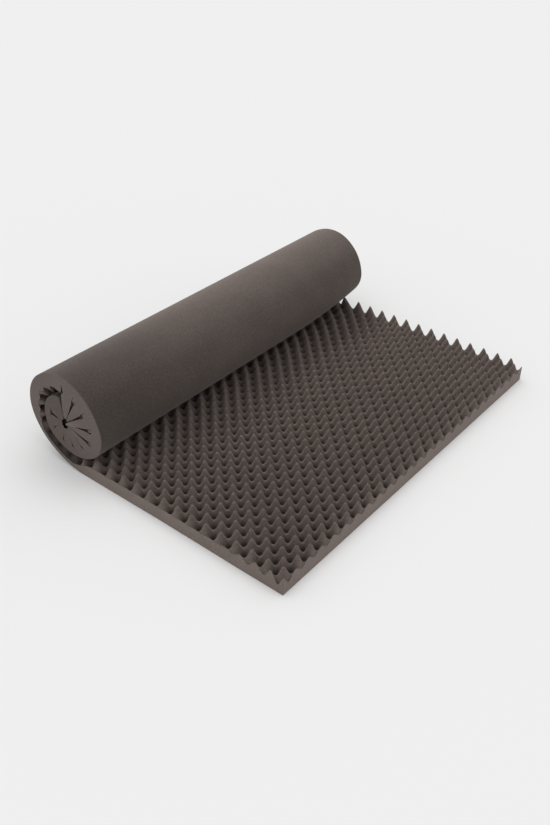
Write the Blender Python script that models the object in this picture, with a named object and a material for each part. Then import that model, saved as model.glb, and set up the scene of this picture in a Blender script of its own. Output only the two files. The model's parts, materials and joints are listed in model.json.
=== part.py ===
"""Convoluted foam mattress sheet, cut square and rolled up from one end.

The sheet lies on the floor with its smooth back down and its egg-crate face
up.  One end is rolled into a loose spiral of about one and a half turns, back
outward.  X runs from the roll to the free cut end, Y along the roll and Z up.
Everything is worked out in metres with the roll's lift-off line as the start,
then moved so that the middle of the box's underside is at the origin.
"""
import math

import bmesh
import bpy
import numpy as np

WIDTH = 1.000            # length of the roll, along Y
PITCH_X = 0.0403         # peak spacing along X
PITCH_Y = 0.04155        # peak spacing along Y
THICKNESS = 0.052        # floor to the top of a peak
BASE = 0.018             # floor to the bottom of a pit
FLAT_LENGTH = 0.573      # free cut end to the line where the roll lifts off the floor
FREE_END_PHASE = 0.74    # pitches from the free cut end to the first row of pits
NEAR_SIDE_PHASE = 0.43   # pitches from the near cut side to the first row of pits

ROLL_AXIS_HEIGHT = 0.1270    # height of the axis that the turn radii are measured from
LIFT_OFF_DEG = -12.0         # turn angle where the back leaves the floor
ROLL_AXIS_X = ROLL_AXIS_HEIGHT * math.tan(math.radians(LIFT_OFF_DEG))
STRIP_END_DEG = 516.0        # turn angle of the rolled-in end of the sheet
MOUTH_DEG = -36.0            # turn angle where the roll's back comes down on the peaks
TURN_STEP_DEG = 12.0         # spacing of the section's corners, a whole part of a turn
TURN_GAP = 0.0016            # air between one turn and the next
CORE_RADIUS = 0.006          # small hole left where the peaks meet at the middle
CORE_OFFSET_X = -0.0190      # the hole's centre from the roll axis
CORE_OFFSET_Z = -0.0080
CORE_SLIT_DEG = 16.0         # opening of the slit where it meets the hole

PLAIN_ROW = 12.5             # pitches past the first pit row where plain foam starts
PINCH_DEPTH = 0.0170         # how much tighter the roll is wound at its far end
PINCH_MIDDLE_DEG = 300.0     # turn angle that is pulled in the most
PINCH_REACH_DEG = 150.0
PINCH_START = 0.715          # share of the width after which the pull begins

# Radius of the sheet's back about the roll axis, against the turned angle.
# Zero degrees points down, and the angle grows through the side away from the
# free end, then over the top.
TURN_RADII = (
    # turn_deg, radius
    (LIFT_OFF_DEG, ROLL_AXIS_HEIGHT / math.cos(math.radians(LIFT_OFF_DEG))),
    (0.0, 0.1239),
    (30.0, 0.1195),
    (60.0, 0.1253),
    (90.0, 0.1326),
    (120.0, 0.1326),
    (150.0, 0.1257),
    (180.0, 0.1185),
    (210.0, 0.1084),
    (240.0, 0.1020),
    (270.0, 0.0999),
    (300.0, 0.0935),
    (330.0, 0.0854),
    (360.0, 0.0818),
    (390.0, 0.0828),
    (420.0, 0.0872),
    (450.0, 0.0842),
    (480.0, 0.0802),
    (510.0, 0.0697),
    (STRIP_END_DEG, 0.0660),
)

# Shares of the width at which the roll has a ring of corners.
ROLL_STATIONS = (0.0, 0.40, 0.72, 0.84, 0.93, 1.0)


def clear_scene():
    """Remove whatever the scene holds."""
    for thing in list(bpy.data.objects):
        bpy.data.objects.remove(thing, do_unlink=True)


def turn_radius(turn):
    """Smooth curve through the table of turn radii."""
    angles = np.array([row[0] for row in TURN_RADII])
    radii = np.array([row[1] for row in TURN_RADII])
    slopes = np.gradient(radii, angles)
    low = int(np.clip(np.searchsorted(angles, turn) - 1, 0, len(angles) - 2))
    span = angles[low + 1] - angles[low]
    t = (turn - angles[low]) / span
    value = radii[low] * (2 * t ** 3 - 3 * t ** 2 + 1)
    value += radii[low + 1] * (3 * t ** 2 - 2 * t ** 3)
    value += slopes[low] * span * (t ** 3 - 2 * t ** 2 + t)
    value += slopes[low + 1] * span * (t ** 3 - t ** 2)
    return float(value)


def pinch(turn, share):
    """How far the back is pulled towards the axis near the far end."""
    off = abs(turn - PINCH_MIDDLE_DEG) / PINCH_REACH_DEG
    if off >= 1.0 or share <= PINCH_START:
        return 0.0
    along = (share - PINCH_START) / (1.0 - PINCH_START)
    return PINCH_DEPTH * along ** 2 * math.cos(0.5 * math.pi * off) ** 2


def roll_point(turn, share, outward=0.0):
    """Point of the sheet's back, in the plane of one roll section."""
    radius = turn_radius(turn) - pinch(turn, share) + outward
    angle = math.radians(turn)
    return ROLL_AXIS_X - radius * math.sin(angle), ROLL_AXIS_HEIGHT - radius * math.cos(angle)


def facing_point(turn, share):
    """Point of the sheet's face, just clear of the back of the next turn in."""
    x, z = roll_point(turn + 360.0, share, TURN_GAP)
    if turn <= 0.0:
        z = min(z, THICKNESS)
    return x, z


def core_ring(share, count):
    """Corners around the small middle hole, from one side of the slit to the other."""
    centre = (ROLL_AXIS_X + CORE_OFFSET_X, ROLL_AXIS_HEIGHT + CORE_OFFSET_Z)
    x, z = roll_point(STRIP_END_DEG, share)
    tip_angle = math.degrees(math.atan2(z - centre[1], x - centre[0]))
    points = []
    for i in range(count):
        angle = math.radians(tip_angle - CORE_SLIT_DEG - (360.0 - CORE_SLIT_DEG) * i / (count - 1))
        points.append((
            centre[0] + CORE_RADIUS * math.cos(angle),
            centre[1] + CORE_RADIUS * math.sin(angle),
        ))
    return points


def slit_point(share):
    """Point beside the rolled-in end's outer corner, across the slit from it."""
    tip = roll_point(STRIP_END_DEG, share)
    root = core_ring(share, 2)[-1]
    reach = math.dist(tip, root)
    return (
        tip[0] + TURN_GAP * (tip[1] - root[1]) / reach,
        tip[1] - TURN_GAP * (tip[0] - root[0]) / reach,
    )


def turn_angles(first, last):
    """Evenly spaced turn angles, both ends included."""
    count = max(1, round((last - first) / TURN_STEP_DEG))
    return [first + (last - first) * i / count for i in range(count + 1)]


def egg_crate(rows_x, rows_y):
    """Height of the foam's face, with distances counted in pitches from a pit."""
    level = -math.cos(2 * math.pi * rows_x) * math.cos(2 * math.pi * rows_y)
    return BASE + (THICKNESS - BASE) * 0.5 * (level + 1.0)


def flat_rows_x():
    """Grid lines along X in pitches from the first pit row, free end first."""
    return [-FREE_END_PHASE, -0.5] + [0.5 * i for i in range(int(2 * PLAIN_ROW) + 1)]


def flat_rows_y():
    """Grid lines along Y in pitches from the first pit row, near side first."""
    far = WIDTH / PITCH_Y - NEAR_SIDE_PHASE
    inner = [0.5 * i for i in range(int(2 * far) + 1)]
    return [-NEAR_SIDE_PHASE] + inner + [far]


def zip_rows(bm, row_a, row_b):
    """Join two rows of corners, each sorted along Y, with triangles."""
    a, b = 0, 0
    while a < len(row_a) - 1 or b < len(row_b) - 1:
        next_a = row_a[a + 1].co.y if a < len(row_a) - 1 else math.inf
        next_b = row_b[b + 1].co.y if b < len(row_b) - 1 else math.inf
        if next_a <= next_b:
            bm.faces.new((row_a[a], row_a[a + 1], row_b[b]))
            a += 1
        else:
            bm.faces.new((row_a[a], row_b[b + 1], row_b[b]))
            b += 1


def join_rings(bm, ring_a, ring_b):
    """Quads between two equally long rows of corners."""
    for i in range(len(ring_a) - 1):
        bm.faces.new((ring_a[i], ring_a[i + 1], ring_b[i + 1], ring_b[i]))


def build_sheet():
    """The whole sheet as one closed mesh."""
    bm = bmesh.new()
    rows_y = flat_rows_y()
    ys = [(row + NEAR_SIDE_PHASE) * PITCH_Y for row in rows_y]

    # The laid-out face: a corner on every pit and peak, another in each saddle.
    top = []
    for row_x in flat_rows_x():
        x = FLAT_LENGTH - (row_x + FREE_END_PHASE) * PITCH_X
        plain = row_x == PLAIN_ROW
        heights = [THICKNESS if plain else egg_crate(row_x, row_y) for row_y in rows_y]
        top.append([bm.verts.new((x, y, z)) for y, z in zip(ys, heights)])
    for row_a, row_b in zip(top, top[1:]):
        for j in range(len(ys) - 1):
            corners = (row_a[j], row_a[j + 1], row_b[j + 1], row_b[j])
            middle = sum(v.co.z for v in corners) / 4
            centre = bm.verts.new((
                0.5 * (row_a[j].co.x + row_b[j].co.x), 0.5 * (ys[j] + ys[j + 1]), middle))
            for k in range(4):
                bm.faces.new((corners[k], corners[(k + 1) % 4], centre))

    # The rolled part: one section of corners at each station along Y.
    outer_turns = turn_angles(LIFT_OFF_DEG, STRIP_END_DEG - 360.0)
    inner_turns = turn_angles(STRIP_END_DEG - 360.0, STRIP_END_DEG)
    mouth_turns = turn_angles(MOUTH_DEG, LIFT_OFF_DEG)
    backs, cores, faces_in = [], [], []
    for share in ROLL_STATIONS:
        y = share * WIDTH

        def corner(point):
            return bm.verts.new((point[0], y, point[1]))

        back = [corner((0.0, 0.0))]
        back += [corner(roll_point(t, share)) for t in outer_turns[1:] + inner_turns[1:]]
        core = [corner(point) for point in core_ring(share, len(inner_turns))]
        facing = [corner(facing_point(t, share)) for t in mouth_turns + outer_turns[1:]]
        facing.append(corner(slit_point(share)))
        backs.append(back)
        cores.append(core)
        faces_in.append(facing)
    for s in range(len(ROLL_STATIONS) - 1):
        join_rings(bm, backs[s], backs[s + 1])
        join_rings(bm, cores[s + 1], cores[s])
        join_rings(bm, faces_in[s + 1], faces_in[s])
        join_rings(bm, [backs[s][-1], cores[s][-1]], [backs[s + 1][-1], cores[s + 1][-1]])
        join_rings(bm, [cores[s][0], faces_in[s][-1]], [cores[s + 1][0], faces_in[s + 1][-1]])

    # Underside, the strip of face that runs in under the roll, and the free end.
    near, far = 0, len(ys) - 1
    free = [bm.verts.new((FLAT_LENGTH, ys[j], 0.0)) for j in (near, far)]
    zip_rows(bm, free, [back[0] for back in backs])
    zip_rows(bm, top[-1], [facing[0] for facing in faces_in])
    bm.faces.new(free[::-1] + top[0])

    # The two cut sides: the laid-out part, then one quad for each step of turn.
    shift = len(mouth_turns) - 1
    half = len(outer_turns) - 1
    for s, side in ((0, near), (len(ROLL_STATIONS) - 1, far)):
        back, core, facing = backs[s], cores[s], faces_in[s]
        corner = free[0 if s == 0 else 1]
        bm.faces.new([corner] + [row[side] for row in top] + facing[:shift + 1] + [back[0]])
        for i in range(half):
            bm.faces.new((back[i], back[i + 1], facing[shift + i + 1], facing[shift + i]))
        bm.faces.new((back[half], back[half + 1], core[1], core[0], facing[-1], facing[-2]))
        for i in range(1, len(inner_turns) - 1):
            bm.faces.new((back[half + i], back[half + i + 1], core[i + 1], core[i]))

    bmesh.ops.recalc_face_normals(bm, faces=bm.faces[:])
    low = [min(v.co[k] for v in bm.verts) for k in range(3)]
    high = [max(v.co[k] for v in bm.verts) for k in range(3)]
    for v in bm.verts:
        v.co.x -= 0.5 * (low[0] + high[0])
        v.co.y -= 0.5 * (low[1] + high[1])
        v.co.z -= low[2]
    mesh = bpy.data.meshes.new("foam_mattress")
    bm.to_mesh(mesh)
    bm.free()
    return mesh


def foam_material():
    """Warm grey open-cell foam."""
    material = bpy.data.materials.new("foam")
    material.use_nodes = True
    shader = material.node_tree.nodes["Principled BSDF"]
    shader.inputs["Base Color"].default_value = (0.105, 0.085, 0.080, 1.0)
    shader.inputs["Roughness"].default_value = 0.95
    shader.inputs["Metallic"].default_value = 0.0
    return material


def main():
    clear_scene()
    mesh = build_sheet()
    mesh.materials.append(foam_material())
    sheet = bpy.data.objects.new("foam_mattress", mesh)
    bpy.context.scene.collection.objects.link(sheet)


main()
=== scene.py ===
"""Rolled egg-crate foam mattress: the foam sheet, its finish, and a plain studio."""
import json
import math

import bmesh
import bpy
import numpy as np
from bpy.props import FloatProperty, FloatVectorProperty, PointerProperty
from mathutils import Matrix, Vector

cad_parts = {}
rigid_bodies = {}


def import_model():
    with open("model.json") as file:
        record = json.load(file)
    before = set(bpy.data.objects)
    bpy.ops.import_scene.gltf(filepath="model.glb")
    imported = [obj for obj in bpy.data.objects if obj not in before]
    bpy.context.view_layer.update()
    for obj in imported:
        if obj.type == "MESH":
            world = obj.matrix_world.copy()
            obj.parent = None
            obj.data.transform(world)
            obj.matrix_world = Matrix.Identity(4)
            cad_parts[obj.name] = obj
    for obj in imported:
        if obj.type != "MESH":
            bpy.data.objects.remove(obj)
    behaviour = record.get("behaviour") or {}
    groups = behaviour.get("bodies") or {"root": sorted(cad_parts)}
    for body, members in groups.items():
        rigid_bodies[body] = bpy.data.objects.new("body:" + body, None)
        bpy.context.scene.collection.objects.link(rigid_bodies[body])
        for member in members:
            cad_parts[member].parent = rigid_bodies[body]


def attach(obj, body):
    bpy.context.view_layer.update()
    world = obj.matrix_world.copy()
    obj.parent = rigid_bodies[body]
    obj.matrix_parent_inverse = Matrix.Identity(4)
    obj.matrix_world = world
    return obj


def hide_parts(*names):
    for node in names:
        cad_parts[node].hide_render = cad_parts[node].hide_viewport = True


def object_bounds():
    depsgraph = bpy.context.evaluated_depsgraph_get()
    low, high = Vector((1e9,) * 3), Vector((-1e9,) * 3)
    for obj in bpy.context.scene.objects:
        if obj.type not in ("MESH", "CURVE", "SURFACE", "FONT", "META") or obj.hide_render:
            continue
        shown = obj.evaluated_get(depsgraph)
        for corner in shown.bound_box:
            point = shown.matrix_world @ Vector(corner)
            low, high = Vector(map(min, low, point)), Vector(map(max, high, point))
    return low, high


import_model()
CAD_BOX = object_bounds()

bl_info = {
    "name": "Rolled foam mattress",
    "version": (1, 0, 0),
    "blender": (4, 5, 0),
    "location": "3D View > Sidebar > Foam",
    "description": "Builds a rolled sheet of egg-crate foam with its finish and a studio",
    "category": "Mesh",
}

NODE = "foam_mattress"
BODY = "root"

# The sheet, in metres. Rows are counted in peak spacings from the first row of
# pits behind the free cut end, and lanes from the first row behind the near side.
PITCH_X = 0.0403
PITCH_Y = 0.04155
THICKNESS = 0.0565
BASE = 0.018
FLAT_LENGTH = 0.573
FREE_END_PHASE = 0.74
NEAR_SIDE_PHASE = 0.43
STEPS_PER_PITCH = 12
LANE_STEPS_PER_PITCH = 10
ROLL_STEPS_PER_PITCH = 8
SQUASH_STEPS_PER_PITCH = 10
ROLL_FROM_ROW = 13.5
LAYERS = 3
BACK_LANES = 20
BACK_LANES_AT_PINCH = 5

# The roll. Turn angles grow from straight down, over the side away from the free end.
ROLL_AXIS_HEIGHT = 0.1270
LIFT_OFF_DEG = -12.0
STRIP_END_DEG = 518.0
TURN_GAP = 0.0012
CORE_FROM_AXIS = (-0.0190, -0.0050)
CORE_RADIUS = (0.0060, 0.0110)
SQUASH_FROM_ROW = 23.5
LOBE_FROM_DEG = 454.0
LOBE_STEP_DEG = 4.0

PINCH_DEPTH = 0.0170
PINCH_MIDDLE_DEG = 300.0
PINCH_REACH_DEG = 150.0
PINCH_START = 0.715

TURNS = (
    # turn_deg, radius of the back, rows passed
    (-12.0, 0.12984, 13.478),
    (0.0, 0.1239, 14.13),
    (30.0, 0.1195, 15.73),
    (60.0, 0.1253, 17.32),
    (90.0, 0.1326, 19.10),
    (120.0, 0.1326, 20.70),
    (150.0, 0.1257, 22.40),
    (180.0, 0.1185, 23.63),
    (210.0, 0.1084, 24.80),
    (240.0, 0.1020, 25.83),
    (270.0, 0.0999, 26.84),
    (300.0, 0.0935, 27.83),
    (330.0, 0.0854, 28.80),
    (360.0, 0.0818, 29.66),
    (390.0, 0.0828, 30.62),
    (420.0, 0.0872, 31.50),
    (450.0, 0.0842, 32.38),
    (480.0, 0.0802, 32.75),
    (510.0, 0.0697, 33.05),
    (518.0, 0.0650, 33.15),
)

# Where the near cut crosses the lanes of pits, how far it bows inwards, and how far
# the cut edge settles at a height of its own.
NEAR_CUT = (
    # row, lanes outside the first pits, bow in metres, settled 0 to 1, settled height in metres
    (-0.74, 0.430, 0.0000, 0.0, 0.0165),
    (-0.50, 0.415, 0.0000, 0.0, 0.0165),
    (0.50, 0.350, 0.0000, 0.0, 0.0165),
    (1.50, 0.340, 0.0002, 0.0, 0.0165),
    (2.50, 0.290, 0.0006, 0.0, 0.0165),
    (3.50, 0.265, 0.0012, 0.0, 0.0165),
    (7.50, 0.260, 0.0034, 0.0, 0.0165),
    (13.2, 0.260, 0.0034, 0.0, 0.0165),
    (14.4, 0.260, 0.0034, 1.0, 0.0165),
    (17.4, 0.270, 0.0034, 1.0, 0.0165),
    (18.6, 0.300, 0.0034, 0.0, 0.0200),
    (23.0, 0.300, 0.0034, 0.0, 0.0420),
    (23.2, 0.330, 0.0034, 1.0, 0.0420),
    (23.4, 0.360, 0.0034, 1.0, 0.0420),
    (23.6, 0.400, 0.0034, 0.0, 0.0420),
    (34.0, 0.430, 0.0034, 0.0, 0.0420),
)
FREE_CUT_DRIFT = 0.08
CORNER_DRIFT = 0.08

# Sideways lean of the squashed teeth half way up, in metres, and how shut their slits are.
LEAN = (
    # row, lean towards the left, shut 0 to 1
    (23.40, 0.000, 0.0),
    (23.60, 0.009, 0.0),
    (24.00, 0.006, 0.0),
    (24.40, 0.000, 0.0),
    (27.90, 0.000, 0.0),
    (28.10, 0.000, 1.0),
    (31.90, 0.000, 1.0),
    (32.10, 0.000, 0.5),
    (34.00, 0.000, 0.5),
)

# How far towards the roll's heart a squashed tooth reaches, by its level from pit to tip.
SQUASH_REACH = ((0.0, 0.28), (0.15, 0.34), (0.45, 0.48), (0.55, 0.68), (0.75, 0.90), (1.0, 1.0))

# Where a squashed tooth's flank ends up, from its tip at 0 to the root of the slit at 1.
OPEN_SLIT = ((0.0, 0.0), (0.1, 0.60), (0.2, 0.93), (0.4, 0.92), (0.6, 0.80), (0.8, 0.70), (1.0, 1.0))
SHUT_SLIT = ((0.0, 0.0), (0.1, 0.90), (0.2, 0.998), (0.4, 0.999), (0.6, 0.95), (0.8, 0.85), (1.0, 1.0))

# Painted shade on the cut edge along the sheet: lightest by the floor, darkest in the roll's heart.
PAINTED_EDGE_SHADE = (
    # row, tone
    (-0.74, 1.0),
    (12.0, 1.0),
    (15.0, 0.74),
    (24.0, 0.70),
    (27.5, 0.66),
    (29.0, 0.57),
    (31.5, 0.50),
    (34.0, 0.48),
)

# Painted shade on the face along the sheet where little light gets in, over and above the painted shade
# of its own pits.
GLOOM = ((13.0, 0.0), (13.8, 0.74), (16.8, 0.78), (17.8, 0.60), (23.4, 0.50), (23.6, 0.93), (34.0, 0.93))

# One tooth's tip in the roll's heart stands out of the cut side.
POKE = ((25.5, 0.0), (25.9, 1.0), (26.1, 1.0), (26.5, 0.0))
POKE_OUT = 0.005

# Camera: its place in metres, its angles in degrees, its lens and film in millimetres.
CAMERA_PLACE = (1.1194, -1.4795, 1.2916)
CAMERA_HEADING = 128.49
CAMERA_DIP = 34.91
CAMERA_ROLL = 0.75
CAMERA_LENS = 39.71
CAMERA_FILM = 36.0

# Studio light, in metres; the floor shows this bright.
FLOOR_COLOUR = 0.9
FLOOR_SHOWN = 0.87
BACK_LIGHT_PLACE = (-1.2, 0.7, 1.7)
BACK_LIGHT_AIM = (-0.1, 0.0, 0.1)
BACK_LIGHT_SIZE = 0.9

# Painted shade on the plain back: how light it is beside the egg-crate face, and less so towards the near
# side.
BACK_PAINTED_SHADE = 0.64
BACK_PAINTED_SHADE_NEAR = 0.45
BACK_PAINTED_SHADE_REACH = (-0.5, -0.05)

# A painted highlight along the rim of the back by the near side, standing in for light caught on the
# edge: from where to where across, and how much lighter.
RIM_PAINTED_HIGHLIGHT = (-0.4966, -0.4925)
RIM_HIGHLIGHT_TONE = 0.3

# The foam's pattern, in repeats a metre.
GRAIN_SCALE = 300.0
BLOTCH_SCALE = 14.0
CELL_SCALE = 520.0

# Painted shade in the pits: how light the foam is painted from its tips, at 0, down to the bottoms of its
# pits, at 1.
PIT_PAINTED_SHADE = ((0.0, 0.97), (0.2, 0.93), (0.5, 0.93), (0.64, 0.78), (0.8, 0.42), (1.0, 0.25))


class NodeTree:
    """Short forms for building a geometry node tree."""

    def __init__(self, name, inputs):
        self.tree = bpy.data.node_groups.new(name, "GeometryNodeTree")
        self.sockets = {}
        self.tree.interface.new_socket("Geometry", in_out="INPUT", socket_type="NodeSocketGeometry")
        for label, kind in inputs.items():
            socket = self.tree.interface.new_socket(label, in_out="INPUT", socket_type=kind)
            self.sockets[label] = socket.identifier
        self.tree.interface.new_socket("Geometry", in_out="OUTPUT", socket_type="NodeSocketGeometry")
        self.start = self.tree.nodes.new("NodeGroupInput")
        self.end = self.tree.nodes.new("NodeGroupOutput")

    def given(self, label):
        return self.start.outputs[label]

    def put(self, value, socket):
        if isinstance(value, bpy.types.NodeSocket):
            self.tree.links.new(value, socket)
        else:
            socket.default_value = value

    def node(self, kind, inputs=None, **settings):
        made = self.tree.nodes.new(kind)
        for name, value in settings.items():
            setattr(made, name, value)
        for name, value in (inputs or {}).items():
            self.put(value, made.inputs[name])
        return made

    def math(self, operation, *values, clamp=False):
        made = self.node("ShaderNodeMath", operation=operation, use_clamp=clamp)
        for value, socket in zip(values, made.inputs):
            self.put(value, socket)
        return made.outputs[0]

    def add(self, a, b):
        return self.math("ADD", a, b)

    def subtract(self, a, b):
        return self.math("SUBTRACT", a, b)

    def multiply(self, a, b):
        return self.math("MULTIPLY", a, b)

    def divide(self, a, b):
        return self.math("DIVIDE", a, b)

    def ease(self, value, low, high):
        """0 at low, 1 at high, eased at both ends."""
        made = self.node("ShaderNodeMapRange", interpolation_type="SMOOTHSTEP")
        for name, number in (("Value", value), ("From Min", low), ("From Max", high)):
            self.put(number, made.inputs[name])
        return made.outputs["Result"]

    def mix(self, factor, a, b, vector=False):
        made = self.node("ShaderNodeMix", data_type="VECTOR" if vector else "FLOAT")
        sockets = [s for s in made.inputs if s.enabled]
        for value, socket in zip((factor, a, b), sockets):
            self.put(value, socket)
        return next(s for s in made.outputs if s.enabled)

    def curve(self, value, points):
        made = self.node("ShaderNodeFloatCurve")
        line = made.mapping.curves[0]
        while len(line.points) < len(points):
            line.points.new(0.5, 0.5)
        for point, place in zip(line.points, points):
            point.location = place
        made.mapping.update()
        self.put(1.0, made.inputs["Factor"])
        self.put(value, made.inputs["Value"])
        return made.outputs["Value"]

    def split(self, vector):
        made = self.node("ShaderNodeSeparateXYZ", {"Vector": vector})
        return made.outputs

    def join(self, x, y, z):
        return self.node("ShaderNodeCombineXYZ", {"X": x, "Y": y, "Z": z}).outputs["Vector"]

    def named(self, name, vector=False):
        kind = "FLOAT_VECTOR" if vector else "FLOAT"
        made = self.node("GeometryNodeInputNamedAttribute", data_type=kind)
        made.inputs["Name"].default_value = name
        return made.outputs["Attribute"]

    def sample(self, geometry, name, index, vector=False):
        """A point attribute of the geometry, read at a whole or part index."""
        kind = "FLOAT_VECTOR" if vector else "FLOAT"
        low = self.math("FLOOR", index)
        ends = []
        for offset in (0.0, 1.0):
            made = self.node("GeometryNodeSampleIndex", data_type=kind, domain="POINT", clamp=True)
            self.put(geometry, made.inputs["Geometry"])
            self.put(self.named(name, vector), made.inputs["Value"])
            at = self.add(low, offset)
            whole = self.node("FunctionNodeFloatToInt", {"Float": at}, rounding_mode="ROUND")
            self.put(whole.outputs["Integer"], made.inputs["Index"])
            ends.append(made.outputs["Value"])
        return self.mix(self.subtract(index, low), ends[0], ends[1], vector)

    def store(self, geometry, name, value, domain="POINT"):
        made = self.node("GeometryNodeStoreNamedAttribute", data_type="FLOAT", domain=domain)
        for socket, given in (("Geometry", geometry), ("Name", name), ("Value", value)):
            self.put(given, made.inputs[socket])
        return made.outputs["Geometry"]


# ---------------------------------------------------------------- the roll's path


def along(table, place, column):
    """Smooth value of one column of a table, its first column being the place."""
    places = np.array([row[0] for row in table])
    values = np.array([row[column] for row in table])
    slopes = np.gradient(values, places)
    low = int(np.clip(np.searchsorted(places, place) - 1, 0, len(places) - 2))
    span = places[low + 1] - places[low]
    t = (place - places[low]) / span
    value = values[low] * (2 * t ** 3 - 3 * t ** 2 + 1)
    value += values[low + 1] * (3 * t ** 2 - 2 * t ** 3)
    value += slopes[low] * span * (t ** 3 - 2 * t ** 2 + t)
    value += slopes[low + 1] * span * (t ** 3 - t ** 2)
    return float(value)


def between(table, place, column):
    """Straight-line value of one column of a table."""
    return float(np.interp(place, [row[0] for row in table], [row[column] for row in table]))


def eased(value, low, high):
    t = min(1.0, max(0.0, (value - low) / (high - low)))
    return t * t * (3 - 2 * t)


def pinch(turn, pull):
    off = abs(turn - PINCH_MIDDLE_DEG) / PINCH_REACH_DEG
    return pull * math.cos(0.5 * math.pi * off) ** 2 if off < 1.0 else 0.0


def roll_point(turn, pull, outward=0.0):
    """The back of the sheet in one section of the roll; pull is the pinch there."""
    radius = along(TURNS, turn, 1) - pinch(turn, pull) + outward
    angle = math.radians(turn)
    axis_x = CAD_BOX[1][0] - FLAT_LENGTH + ROLL_AXIS_HEIGHT * math.tan(math.radians(LIFT_OFF_DEG))
    return Vector((axis_x - radius * math.sin(angle), 0.0, ROLL_AXIS_HEIGHT - radius * math.cos(angle)))


def back_height_over(x, pull):
    """Height of the roll's underside over a point of the laid-out face."""
    best = math.inf
    for turn in np.arange(270.0, 350.0, 1.0):
        point = roll_point(turn, pull)
        if abs(point.x - x) < 0.0012:
            best = min(best, point.z)
    return best


def columns():
    """Rows at which the sheet has a column of corners, and their turn angles."""
    lobe_row = along(TURNS, LOBE_FROM_DEG, 2)
    flat_steps = round((ROLL_FROM_ROW + 0.5) * STEPS_PER_PITCH)
    roll_steps = round((SQUASH_FROM_ROW - ROLL_FROM_ROW) * ROLL_STEPS_PER_PITCH)
    squash_steps = int((lobe_row - SQUASH_FROM_ROW) * SQUASH_STEPS_PER_PITCH)
    rows = [-FREE_END_PHASE] + [i / STEPS_PER_PITCH - 0.5 for i in range(-2, flat_steps)]
    rows += [ROLL_FROM_ROW + i / ROLL_STEPS_PER_PITCH for i in range(roll_steps)]
    rows += [SQUASH_FROM_ROW + i / SQUASH_STEPS_PER_PITCH for i in range(squash_steps + 1)]
    turns = np.arange(LIFT_OFF_DEG, STRIP_END_DEG + 0.25, 0.25)
    passed = np.array([along(TURNS, turn, 2) for turn in turns])
    found = [(row, float(np.interp(row, passed, turns)) if row > passed[0] else None) for row in rows]
    steps = max(1, round((STRIP_END_DEG - found[-1][1]) / LOBE_STEP_DEG))
    first = found[-1][1]
    for i in range(1, steps + 1):
        turn = first + (STRIP_END_DEG - first) * i / steps
        found.append((along(TURNS, turn, 2), turn))
    return found


def path_columns(thickness):
    """What the node tree needs to know of each column, as named lists."""
    low, high = CAD_BOX
    free_x = high[0]
    axis = roll_point(0.0, 0.0, -along(TURNS, 0.0, 1))
    core = axis + Vector((CORE_FROM_AXIS[0], 0.0, CORE_FROM_AXIS[1]))
    looked_up = (
        ("cut_phase", NEAR_CUT, 1),
        ("bow", NEAR_CUT, 2),
        ("settled", NEAR_CUT, 3),
        ("edge_height", NEAR_CUT, 4),
        ("lean", LEAN, 1),
        ("shut", LEAN, 2),
        ("painted_edge_shade", PAINTED_EDGE_SHADE, 1),
        ("gloom", GLOOM, 1),
        ("poke", POKE, 1),
    )
    names = ["row", "squash", "density", "back", "back_far", "face", "face_far"]
    data = {name: [] for name in names + [entry[0] for entry in looked_up]}
    cols = columns()
    for i, (row, turn) in enumerate(cols):
        data["row"].append(row)
        data["squash"].append(1.0 if row > SQUASH_FROM_ROW - 0.01 else 0.0)
        if 0 < i < len(cols) - 1:
            data["density"].append(2.0 / max(1e-3, cols[i + 1][0] - cols[i - 1][0]))
        else:
            data["density"].append(STEPS_PER_PITCH)
        for name, table, part in looked_up:
            data[name].append(between(table, row, part))
        for suffix, pull in (("", 0.0), ("_far", PINCH_DEPTH)):
            if turn is None:
                back = Vector((free_x - (row + FREE_END_PHASE) * PITCH_X, 0.0, low[2]))
            else:
                back = roll_point(turn, pull)
            lean = eased(row, 12.0, 14.0)
            inward = (Vector((0, 0, 1)) * (1 - lean) + (axis - back).normalized() * lean).normalized()
            if row > SQUASH_FROM_ROW - 0.01:
                line = core - back
                reach = line.length
                line.normalize()
                hole = math.hypot(line.x * CORE_RADIUS[0], line.z * CORE_RADIUS[1])
                face = back + line * (reach - hole)
            elif turn is not None and turn < STRIP_END_DEG - 360.0:
                room = (roll_point(turn + 360.0, pull, TURN_GAP) - back).length
                face = back + inward * min(room, thickness)
            else:
                room = thickness
                if turn is None:
                    room = min(room, back_height_over(back.x, pull) - TURN_GAP)
                face = back + inward * room
            data["back" + suffix].append(back)
            data["face" + suffix].append(face)
    return data


def path_object(thickness):
    """The columns as the corners of a line of edges, with their data as attributes."""
    data = path_columns(thickness)
    count = len(data["row"])
    mesh = bpy.data.meshes.new("foam_path")
    mesh.from_pydata([tuple(p) for p in data["back"]], [(i, i + 1) for i in range(count - 1)], [])
    for name, values in data.items():
        vector = isinstance(values[0], Vector)
        attribute = mesh.attributes.new(name, "FLOAT_VECTOR" if vector else "FLOAT", "POINT")
        flat = [c for v in values for c in v] if vector else values
        attribute.data.foreach_set("vector" if vector else "value", flat)
    made = bpy.data.objects.new("foam_mattress_sheet", mesh)
    bpy.context.scene.collection.objects.link(made)
    return made, count


# ---------------------------------------------------------------- the sheet's node tree


def peak_wave(n, turns, sharp):
    """A cosine with a third harmonic: narrow peaks and pits, broad saddles."""
    angle = n.multiply(turns, 2 * math.pi)
    third = n.multiply(n.math("COSINE", n.multiply(angle, 3.0)), sharp)
    return n.divide(n.add(n.math("COSINE", angle), third), n.add(sharp, 1.0))


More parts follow.
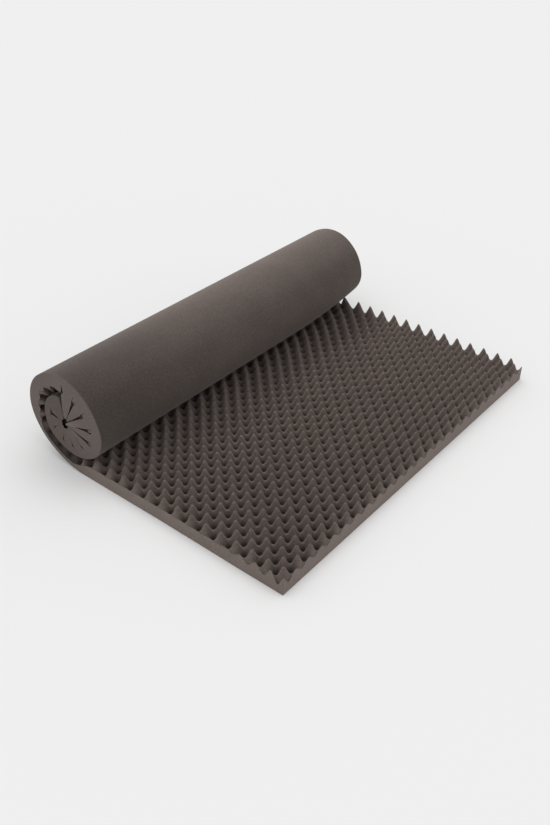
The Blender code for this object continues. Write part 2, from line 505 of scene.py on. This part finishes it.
def squash_shift(n, turns, shut):
    """How far a squashed tooth's flank is spread sideways, in pitches, about a peak at a whole turn."""
    off = n.subtract(turns, n.math("ROUND", turns))
    side = n.math("SIGN", off)
    half = n.multiply(n.math("ABSOLUTE", off), 2.0)
    open_slit = n.curve(half, OPEN_SLIT)
    shut_slit = n.curve(half, SHUT_SLIT)
    spread = n.mix(shut, open_slit, shut_slit)
    return n.multiply(n.multiply(n.subtract(spread, half), 0.5), side)


def sheet_tree():
    n = NodeTree("Egg-crate sheet on a rolled path", {
        "Columns": "NodeSocketInt",
        "Lanes": "NodeSocketInt",
        "Layers": "NodeSocketInt",
        "Width": "NodeSocketFloat",
        "Lane Pitch": "NodeSocketFloat",
        "Near Phase": "NodeSocketFloat",
        "Thickness": "NodeSocketFloat",
        "Base": "NodeSocketFloat",
        "Sharpness": "NodeSocketFloat",
        "Waist": "NodeSocketFloat",
        "Pinch Start": "NodeSocketFloat",
        "Material": "NodeSocketMaterial",
    })
    path = n.given("Geometry")
    cube = n.node("GeometryNodeMeshCube", {
        "Size": (1.0, 1.0, 1.0),
        "Vertices X": n.given("Columns"),
        "Vertices Y": n.given("Lanes"),
        "Vertices Z": n.given("Layers"),
    })
    place = n.node("GeometryNodeInputPosition").outputs["Position"]
    outward = n.split(n.node("GeometryNodeInputNormal").outputs["Normal"])[2]
    edge_side = n.math("LESS_THAN", n.math("ABSOLUTE", outward), 0.5)
    marked = n.store(cube.outputs["Mesh"], "cut", edge_side, "FACE")
    marked = n.store(marked, "plain_back", n.math("LESS_THAN", outward, -0.5), "FACE")
    keep = n.node("GeometryNodeCaptureAttribute", {"Geometry": marked}, domain="POINT")
    keep.capture_items.new("VECTOR", "Place")
    n.put(place, keep.inputs["Place"])
    u, v, w = n.split(n.node("ShaderNodeVectorMath", {0: keep.outputs["Place"], 1: (0.5, 0.5, 0.5)},
                             operation="ADD").outputs["Vector"])
    column = n.math("ROUND", n.multiply(u, n.subtract(n.given("Columns"), 1.0)))
    lane_step = n.math("ROUND", n.multiply(v, n.subtract(n.given("Lanes"), 1.0)))

    # Lanes across the sheet, the cut sides falling where they do between the rows of pits.
    far_lane = n.subtract(n.divide(n.given("Width"), n.given("Lane Pitch")), n.given("Near Phase"))
    lane = n.subtract(n.divide(lane_step, LANE_STEPS_PER_PITCH), 0.5)
    lane = n.math("MINIMUM", n.math("MAXIMUM", lane, n.multiply(n.given("Near Phase"), -1.0)), far_lane)
    from_near = n.add(lane, n.given("Near Phase"))
    row = n.sample(path, "row", column)
    edge = n.subtract(1.0, n.ease(from_near, 0.0, 1.2))
    bow = n.multiply(n.sample(path, "bow", column), edge)
    near_side = n.multiply(n.given("Width"), -0.5)
    y = n.add(n.add(n.multiply(from_near, n.given("Lane Pitch")), near_side), bow)
    drift = n.multiply(n.subtract(n.given("Near Phase"), n.sample(path, "cut_phase", column)), edge)
    lane_in_lattice = n.add(lane, drift)
    free_edge = n.subtract(1.0, n.ease(row, -FREE_END_PHASE, 1.2 - FREE_END_PHASE))
    corner = n.subtract(1.0, n.ease(from_near, 0.0, 0.9))
    row_drift = n.multiply(n.add(n.multiply(corner, CORNER_DRIFT), FREE_CUT_DRIFT), free_edge)
    row_in_lattice = n.subtract(row, row_drift)

    # Height of the face, and where a squashed tooth's flank ends up.
    across_wave = peak_wave(n, lane_in_lattice, n.given("Sharpness"))
    along_wave = peak_wave(n, row_in_lattice, n.given("Sharpness"))
    level = n.multiply(n.subtract(1.0, n.multiply(across_wave, along_wave)), 0.5)
    rise = n.subtract(n.given("Thickness"), n.given("Base"))
    waist = n.multiply(n.given("Waist"), n.multiply(level, n.subtract(1.0, level)))
    height = n.add(n.given("Base"), n.multiply(rise, n.subtract(level, waist)))
    settled = n.multiply(n.sample(path, "settled", column), n.subtract(1.0, n.ease(from_near, 0.0, 0.7)))
    height = n.mix(settled, height, n.sample(path, "edge_height", column))
    plain_reach = n.divide(height, n.given("Thickness"))
    squash_reach = n.curve(level, SQUASH_REACH)
    squash = n.sample(path, "squash", column)
    reach = n.mix(squash, plain_reach, squash_reach)
    shut = n.sample(path, "shut", column)
    on_whole = squash_shift(n, row, shut)
    on_half = squash_shift(n, n.add(row, 0.5), shut)
    negative = n.math("MAXIMUM", n.multiply(across_wave, -1.0), 0.0)
    positive = n.math("MAXIMUM", across_wave, 0.0)
    negative = n.math("MULTIPLY", negative, 1.2, clamp=True)
    positive = n.math("MULTIPLY", positive, 1.2, clamp=True)
    shift = n.add(n.multiply(on_whole, negative), n.multiply(on_half, positive))
    shift = n.multiply(n.multiply(shift, squash), n.sample(path, "density", column))
    moved = n.add(column, n.multiply(shift, w))
    share = n.divide(from_near, n.add(far_lane, n.given("Near Phase")))
    pull = n.math("POWER", n.math("MAXIMUM", n.divide(
        n.subtract(share, n.given("Pinch Start")), n.subtract(1.0, n.given("Pinch Start"))), 0.0), 2.0)
    ends = []
    for name in ("back", "face"):
        near = n.sample(path, name, moved, vector=True)
        far = n.sample(path, name + "_far", moved, vector=True)
        ends.append(n.mix(pull, near, far, vector=True))
    point = n.mix(n.multiply(reach, w), ends[0], ends[1], vector=True)
    x, _, z = n.split(point)
    part = n.multiply(reach, w)
    bulge = n.multiply(n.multiply(part, n.subtract(1.0, part)), 4.0)
    x = n.subtract(x, n.multiply(n.sample(path, "lean", moved), bulge))
    tip = n.multiply(n.ease(part, 0.60, 0.85), n.subtract(1.0, n.ease(from_near, 0.0, 0.5)))
    tip = n.multiply(tip, n.sample(path, "poke", column))
    y = n.subtract(y, n.multiply(tip, POKE_OUT))
    moved_mesh = n.node("GeometryNodeSetPosition", {
        "Geometry": keep.outputs["Geometry"], "Position": n.join(x, y, z)})
    mesh = moved_mesh.outputs["Geometry"]
    # Painted shade: the pit's depth, or the gloom along the sheet where that is more, stored for the
    # material.
    shade_amount = n.math("MAXIMUM", n.subtract(1.0, level), n.sample(path, "gloom", column))
    mesh = n.store(mesh, "painted_shade_depth", n.multiply(shade_amount, w))
    # Painted shade on the cut edge, almost lifted where the poking tooth's tip stands out.
    mesh = n.store(mesh, "painted_edge_shade", n.mix(tip, n.sample(path, "painted_edge_shade", column), 0.98))
    mesh = n.store(mesh, "column_no", column)
    mesh = n.store(mesh, "lane_no", lane_step)
    real = n.node("GeometryNodeRealizeInstances", {"Geometry": mesh})
    paint = n.node("GeometryNodeSetMaterial", {
        "Geometry": real.outputs["Geometry"], "Material": n.given("Material")})
    n.put(paint.outputs["Geometry"], n.end.inputs["Geometry"])
    return n


def sheet_mesh(settings, material):
    """Evaluate the node tree on the path and keep the plain mesh."""
    line, count = path_object(settings.thickness)
    lanes = settings.width / settings.lane_pitch - NEAR_SIDE_PHASE + 0.5
    n = sheet_tree()
    modifier = line.modifiers.new("Egg-crate sheet", "NODES")
    modifier.node_group = n.tree
    given = {
        "Columns": count,
        "Lanes": math.ceil(lanes * LANE_STEPS_PER_PITCH) + 1,
        "Layers": LAYERS,
        "Width": settings.width,
        "Lane Pitch": settings.lane_pitch,
        "Near Phase": NEAR_SIDE_PHASE,
        "Thickness": settings.thickness,
        "Base": settings.base,
        "Sharpness": settings.sharpness,
        "Waist": settings.waist,
        "Pinch Start": PINCH_START,
        "Material": material,
    }
    for label, value in given.items():
        modifier[n.sockets[label]] = value
    bpy.context.view_layer.update()
    graph = bpy.context.evaluated_depsgraph_get()
    mesh = bpy.data.meshes.new_from_object(line.evaluated_get(graph), depsgraph=graph)
    bpy.data.objects.remove(line)
    bpy.data.node_groups.remove(n.tree)
    return mesh


def tidy_sheet(mesh):
    """Give the plain back broad faces, crease the sheet's borders and smooth the rest."""
    shape = bmesh.new()
    shape.from_mesh(mesh)
    cut = shape.faces.layers.float["cut"]
    back = shape.faces.layers.float["plain_back"]
    column = shape.verts.layers.float["column_no"]
    lane = shape.verts.layers.float["lane_no"]
    old = [face for face in shape.faces if face[back] > 0.5]
    old_slot = old[0].material_index
    grid = {}
    for face in old:
        for vert in face.verts:
            grid[round(vert[column]), round(vert[lane])] = vert
    bmesh.ops.delete(shape, geom=old, context="FACES_ONLY")
    last_column = max(place[0] for place in grid)
    last_lane = max(place[1] for place in grid)
    kept = list(range(0, round(PINCH_START * last_lane), BACK_LANES))
    kept += list(range(round(PINCH_START * last_lane), last_lane, BACK_LANES_AT_PINCH)) + [last_lane]
    for i in range(last_column):
        for low, high in zip(kept, kept[1:]):
            near_end = range(low, high + 1) if i == 0 else (low, high)
            far_end = range(low, high + 1) if i + 1 == last_column else (low, high)
            corners = [grid[i, k] for k in near_end] + [grid[i + 1, k] for k in reversed(far_end)]
            face = shape.faces.new(corners)
            face[back] = 1.0
            face.material_index = old_slot
    bmesh.ops.delete(shape, geom=[v for v in shape.verts if not v.link_faces], context="VERTS")
    for face in shape.faces:
        face.smooth = True
    for edge in shape.edges:
        kinds = {(face[cut] > 0.5, face[back] > 0.5) for face in edge.link_faces}
        edge.smooth = len(kinds) == 1
    bmesh.ops.recalc_face_normals(shape, faces=shape.faces)
    shape.to_mesh(mesh)
    shape.free()
    for name in ("column_no", "lane_no"):
        mesh.attributes.remove(mesh.attributes[name])


# ---------------------------------------------------------------- settings


class FoamSettings(bpy.types.PropertyGroup):
    width: FloatProperty(
        name="Width",
        description="Length of the roll, from cut side to cut side",
        default=CAD_BOX[1][1] - CAD_BOX[0][1],
        min=0.2,
        subtype="DISTANCE",
        unit="LENGTH",
    )
    lane_pitch: FloatProperty(
        name="Lane pitch",
        description="Distance between rows of peaks along the roll",
        default=PITCH_Y,
        min=0.01,
        subtype="DISTANCE",
        unit="LENGTH",
    )
    thickness: FloatProperty(
        name="Thickness",
        description="Height of the peaks over the plain back",
        default=THICKNESS,
        min=0.01,
        subtype="DISTANCE",
        unit="LENGTH",
    )
    base: FloatProperty(
        name="Base",
        description="Foam left under the pits",
        default=BASE,
        min=0.001,
        subtype="DISTANCE",
        unit="LENGTH",
    )
    sharpness: FloatProperty(
        name="Sharpness",
        description="How narrow the peaks and pits are",
        default=0.04,
        min=-0.2,
        max=0.5,
        subtype="FACTOR",
    )
    waist: FloatProperty(
        name="Waist",
        description="How much lower the saddles lie than half way up",
        default=0.35,
        min=0.0,
        max=1.0,
        subtype="FACTOR",
    )
    # The cut colour is lighter than the face colour partly for freshly cut foam's own look and partly as
    # painted shade, the face being kept darker for its self-shadowed slopes.
    colour: FloatVectorProperty(
        name="Colour",
        description="Colour of the foam's faces",
        default=(0.160, 0.127, 0.113),
        size=3,
        subtype="COLOR",
    )
    cut_colour: FloatVectorProperty(
        name="Cut colour",
        description="Colour of the foam where it is freshly cut",
        default=(0.196, 0.158, 0.141),
        size=3,
        subtype="COLOR",
    )
    fill_light: FloatProperty(
        name="Fill light",
        description="Strength of the light from all round",
        default=0.68,
        min=0.0,
    )
    back_light: FloatProperty(
        name="Back light",
        description="Power of the soft light behind the roll, in watts",
        default=28.0,
        min=0.0,
    )


# ---------------------------------------------------------------- finish


class Shading:
    """Short forms for building a material."""

    def __init__(self, name):
        self.material = bpy.data.materials.new(name)
        self.material.use_nodes = True
        self.tree = self.material.node_tree
        self.shader = self.tree.nodes["Principled BSDF"]

    def node(self, kind, inputs=None, **settings):
        made = self.tree.nodes.new(kind)
        for name, value in settings.items():
            setattr(made, name, value)
        for name, value in (inputs or {}).items():
            self.put(value, made.inputs[name])
        return made

    def put(self, value, socket):
        if isinstance(value, bpy.types.NodeSocket):
            self.tree.links.new(value, socket)
        else:
            socket.default_value = value

    def attribute(self, name):
        return self.node("ShaderNodeAttribute", attribute_name=name).outputs["Fac"]

    def ease(self, value, low, high, out_low=0.0, out_high=1.0):
        made = self.node("ShaderNodeMapRange", interpolation_type="SMOOTHSTEP")
        given = {"Value": value, "From Min": low, "From Max": high, "To Min": out_low, "To Max": out_high}
        for name, number in given.items():
            self.put(number, made.inputs[name])
        return made.outputs["Result"]

    def curve(self, value, points):
        made = self.node("ShaderNodeFloatCurve", {"Factor": 1.0, "Value": value})
        line = made.mapping.curves[0]
        while len(line.points) < len(points):
            line.points.new(0.5, 0.5)
        for point, place in zip(line.points, points):
            point.location = place
        made.mapping.update()
        return made.outputs["Value"]

    def math(self, operation, a, b, clamp=False):
        made = self.node("ShaderNodeMath", {0: a, 1: b}, operation=operation, use_clamp=clamp)
        return made.outputs["Value"]

    def mix(self, factor, a, b):
        made = self.node("ShaderNodeMix", data_type="RGBA")
        for name, value in (("Factor", factor), ("A", a), ("B", b)):
            socket = next(s for s in made.inputs if s.enabled and s.name == name)
            self.put(value, socket)
        return next(s for s in made.outputs if s.enabled)


def foam_material(settings):
    look = Shading("charcoal_foam")
    place = look.node("ShaderNodeTexCoord").outputs["Object"]
    grain = look.node("ShaderNodeTexNoise", {
        "Vector": place, "Scale": GRAIN_SCALE, "Detail": 3.0, "Roughness": 0.6})
    blotches = look.node("ShaderNodeTexNoise", {
        "Vector": place, "Scale": BLOTCH_SCALE, "Detail": 3.0, "Roughness": 0.5})
    cells = look.node("ShaderNodeTexVoronoi", {
        "Vector": place, "Scale": CELL_SCALE, "Randomness": 1.0})
    face = (*settings.colour, 1.0)
    cut = (*settings.cut_colour, 1.0)
    # Cut faces lighter than the egg-crate face: partly the fresh cut's own look, partly painted shade on
    # the face's slopes.
    colour = look.mix(look.attribute("cut"), face, cut)
    uncut = look.math("SUBTRACT", 1.0, look.attribute("cut"))
    # Painted shade: the face's colour darkened in its pits and where little light gets in.
    pit_shade = look.curve(look.math("MULTIPLY", look.attribute("painted_shade_depth"), uncut), PIT_PAINTED_SHADE)
    tone = look.ease(grain.outputs["Fac"], 0.30, 0.70, 0.82, 1.18)
    tone = look.math("MULTIPLY", tone, look.ease(blotches.outputs["Fac"], 0.3, 0.7, 0.95, 1.05))
    across = look.node("ShaderNodeSeparateXYZ", {"Vector": place}).outputs["Y"]
    plain = look.attribute("plain_back")
    # Painted highlight along the back's rim by the near side.
    rim_highlight = look.math("MULTIPLY", look.ease(across, *RIM_PAINTED_HIGHLIGHT, RIM_HIGHLIGHT_TONE, 0.0), plain)
    # Painted shade: the plain back darker than the face, more so towards the near side.
    side = look.math("SUBTRACT", look.ease(across, *BACK_PAINTED_SHADE_REACH, BACK_PAINTED_SHADE_NEAR, BACK_PAINTED_SHADE), 1.0)
    side = look.math("ADD", look.math("MULTIPLY", side, plain), 1.0)
    tone = look.math("MULTIPLY", tone, look.math("ADD", rim_highlight, 1.0))
    tone = look.math("MULTIPLY", tone, look.math("MULTIPLY", pit_shade, side))
    # Painted shade on the cut faces, darkest in the roll's heart.
    edge = look.math("SUBTRACT", 1.0, look.attribute("painted_edge_shade"))
    edge = look.math("MULTIPLY", look.attribute("cut"), edge)
    tone = look.math("MULTIPLY", tone, look.math("SUBTRACT", 1.0, edge))
    shade = look.node("ShaderNodeVectorMath", {0: colour}, operation="SCALE")
    look.put(tone, shade.inputs["Scale"])
    look.put(shade.outputs["Vector"], look.shader.inputs["Base Color"])
    height = look.math("ADD", cells.outputs["Distance"], grain.outputs["Fac"])
    bump = look.node("ShaderNodeBump", {"Height": height, "Strength": 0.5, "Distance": 0.0006})
    look.put(bump.outputs["Normal"], look.shader.inputs["Normal"])
    look.shader.inputs["Roughness"].default_value = 0.95
    look.shader.inputs["Specular IOR Level"].default_value = 0.25
    look.shader.inputs["Sheen Weight"].default_value = 0.22
    look.shader.inputs["Sheen Roughness"].default_value = 0.45
    look.shader.inputs["Sheen Tint"].default_value = (0.75, 0.68, 0.62, 1.0)
    return look.material


# ---------------------------------------------------------------- studio


def studio_floor(scene):
    mesh = bpy.data.meshes.new("studio_floor")
    reach = 40.0
    corners = [(-reach, -reach), (reach, -reach), (reach, reach), (-reach, reach)]
    mesh.from_pydata([(x, y, -0.0005) for x, y in corners], [], [(0, 1, 2, 3)])
    floor = bpy.data.objects.new("studio_floor", mesh)
    scene.collection.objects.link(floor)
    material = bpy.data.materials.new("studio_floor")
    material.use_nodes = True
    shader = material.node_tree.nodes["Principled BSDF"]
    shader.inputs["Base Color"].default_value = (FLOOR_COLOUR, FLOOR_COLOUR, FLOOR_COLOUR, 1.0)
    shader.inputs["Roughness"].default_value = 1.0
    shader.inputs["Specular IOR Level"].default_value = 0.0
    mesh.materials.append(material)
    return floor


def studio_world(strength):
    """Even light from all round, behind a wall as pale as the floor."""
    world = bpy.data.worlds.new("studio")
    world.use_nodes = True
    tree = world.node_tree
    light = tree.nodes["Background"]
    wall = tree.nodes.new("ShaderNodeBackground")
    for shader, value in ((light, strength), (wall, FLOOR_SHOWN)):
        shader.inputs["Color"].default_value = (1.0, 1.0, 1.0, 1.0)
        shader.inputs["Strength"].default_value = value
    seen = tree.nodes.new("ShaderNodeLightPath").outputs["Is Camera Ray"]
    mix = tree.nodes.new("ShaderNodeMixShader")
    tree.links.new(seen, mix.inputs["Fac"])
    tree.links.new(light.outputs["Background"], mix.inputs[1])
    tree.links.new(wall.outputs["Background"], mix.inputs[2])
    tree.links.new(mix.outputs["Shader"], tree.nodes["World Output"].inputs["Surface"])
    return world


def add_light(scene, name, kind, place, aim):
    data = bpy.data.lights.new(name, kind)
    light = bpy.data.objects.new(name, data)
    scene.collection.objects.link(light)
    way = Vector(aim) - Vector(place)
    light.matrix_world = Matrix.Translation(place) @ way.to_track_quat("-Z", "Y").to_matrix().to_4x4()
    return light


def light_only(light, objects):
    """The light falls on these objects alone."""
    lit = bpy.data.collections.new(light.name + "_lights")
    for item in objects:
        lit.objects.link(item)
    light.light_linking.receiver_collection = lit


def studio_camera(scene):
    data = bpy.data.cameras.new("camera")
    data.lens = CAMERA_LENS
    data.sensor_fit = "VERTICAL"
    data.sensor_height = CAMERA_FILM
    camera = bpy.data.objects.new("camera", data)
    scene.collection.objects.link(camera)
    heading = math.radians(CAMERA_HEADING)
    dip = math.radians(CAMERA_DIP)
    roll = math.radians(CAMERA_ROLL)
    ahead = Vector((math.cos(heading), math.sin(heading), 0.0)) * math.cos(dip)
    ahead.z = -math.sin(dip)
    level = ahead.cross(Vector((0, 0, 1))).normalized()
    right = level * math.cos(roll) + level.cross(ahead) * math.sin(roll)
    turn = Matrix((right, right.cross(ahead), -ahead)).transposed()
    camera.matrix_world = Matrix.Translation(CAMERA_PLACE) @ turn.to_4x4()
    return camera


class FOAM_OT_sheet(bpy.types.Operator):
    """Build the rolled sheet of egg-crate foam"""
    bl_idname = "foam.sheet"
    bl_label = "Foam sheet"

    def execute(self, context):
        settings = context.scene.foam
        mesh = sheet_mesh(settings, foam_material(settings))
        if not mesh.polygons:
            raise RuntimeError("the node tree made no sheet")
        mesh.name = "foam_sheet"
        tidy_sheet(mesh)
        sheet = bpy.data.objects.new("foam_sheet", mesh)
        context.scene.collection.objects.link(sheet)
        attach(sheet, BODY)
        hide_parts(NODE)
        return {"FINISHED"}


class FOAM_OT_studio(bpy.types.Operator):
    """Set up the floor, the lights and the camera"""
    bl_idname = "foam.studio"
    bl_label = "Studio"

    def execute(self, context):
        scene = context.scene
        settings = scene.foam
        foam = [o for o in scene.objects if o.name.startswith("foam_sheet")]
        if not foam:
            raise RuntimeError("build the foam sheet before the studio")
        floor = studio_floor(scene)
        scene.world = studio_world(settings.fill_light)
        overhead = add_light(scene, "overhead", "SUN", (0.0, 0.0, 3.0), (0.0, 0.0, 0.0))
        overhead.data.angle = math.radians(70)
        overhead.data.energy = math.pi * (FLOOR_SHOWN / FLOOR_COLOUR - settings.fill_light)
        back = add_light(scene, "back_softbox", "AREA", BACK_LIGHT_PLACE, BACK_LIGHT_AIM)
        back.data.shape = "DISK"
        back.data.size = BACK_LIGHT_SIZE
        back.data.energy = settings.back_light
        light_only(overhead, [floor])
        light_only(back, [o for o in scene.objects if o.type == "MESH" and o is not floor])
        scene.view_settings.view_transform = "Standard"
        scene.camera = studio_camera(scene)
        return {"FINISHED"}


class FOAM_PT_panel(bpy.types.Panel):
    """The steps in the order they run"""
    bl_label = "Foam mattress"
    bl_idname = "FOAM_PT_panel"
    bl_space_type = "VIEW_3D"
    bl_region_type = "UI"
    bl_category = "Foam"

    def draw(self, context):
        for name in FoamSettings.__annotations__:
            self.layout.prop(context.scene.foam, name)
        self.layout.operator("foam.sheet")
        self.layout.operator("foam.studio")


CLASSES = (FoamSettings, FOAM_OT_sheet, FOAM_OT_studio, FOAM_PT_panel)


def register():
    for item in CLASSES:
        bpy.utils.register_class(item)
    bpy.types.Scene.foam = PointerProperty(type=FoamSettings)


def unregister():
    del bpy.types.Scene.foam
    for item in reversed(CLASSES):
        bpy.utils.unregister_class(item)


def main():
    register()
    bpy.ops.foam.sheet()
    bpy.ops.foam.studio()


if __name__ == "__main__":
    main()
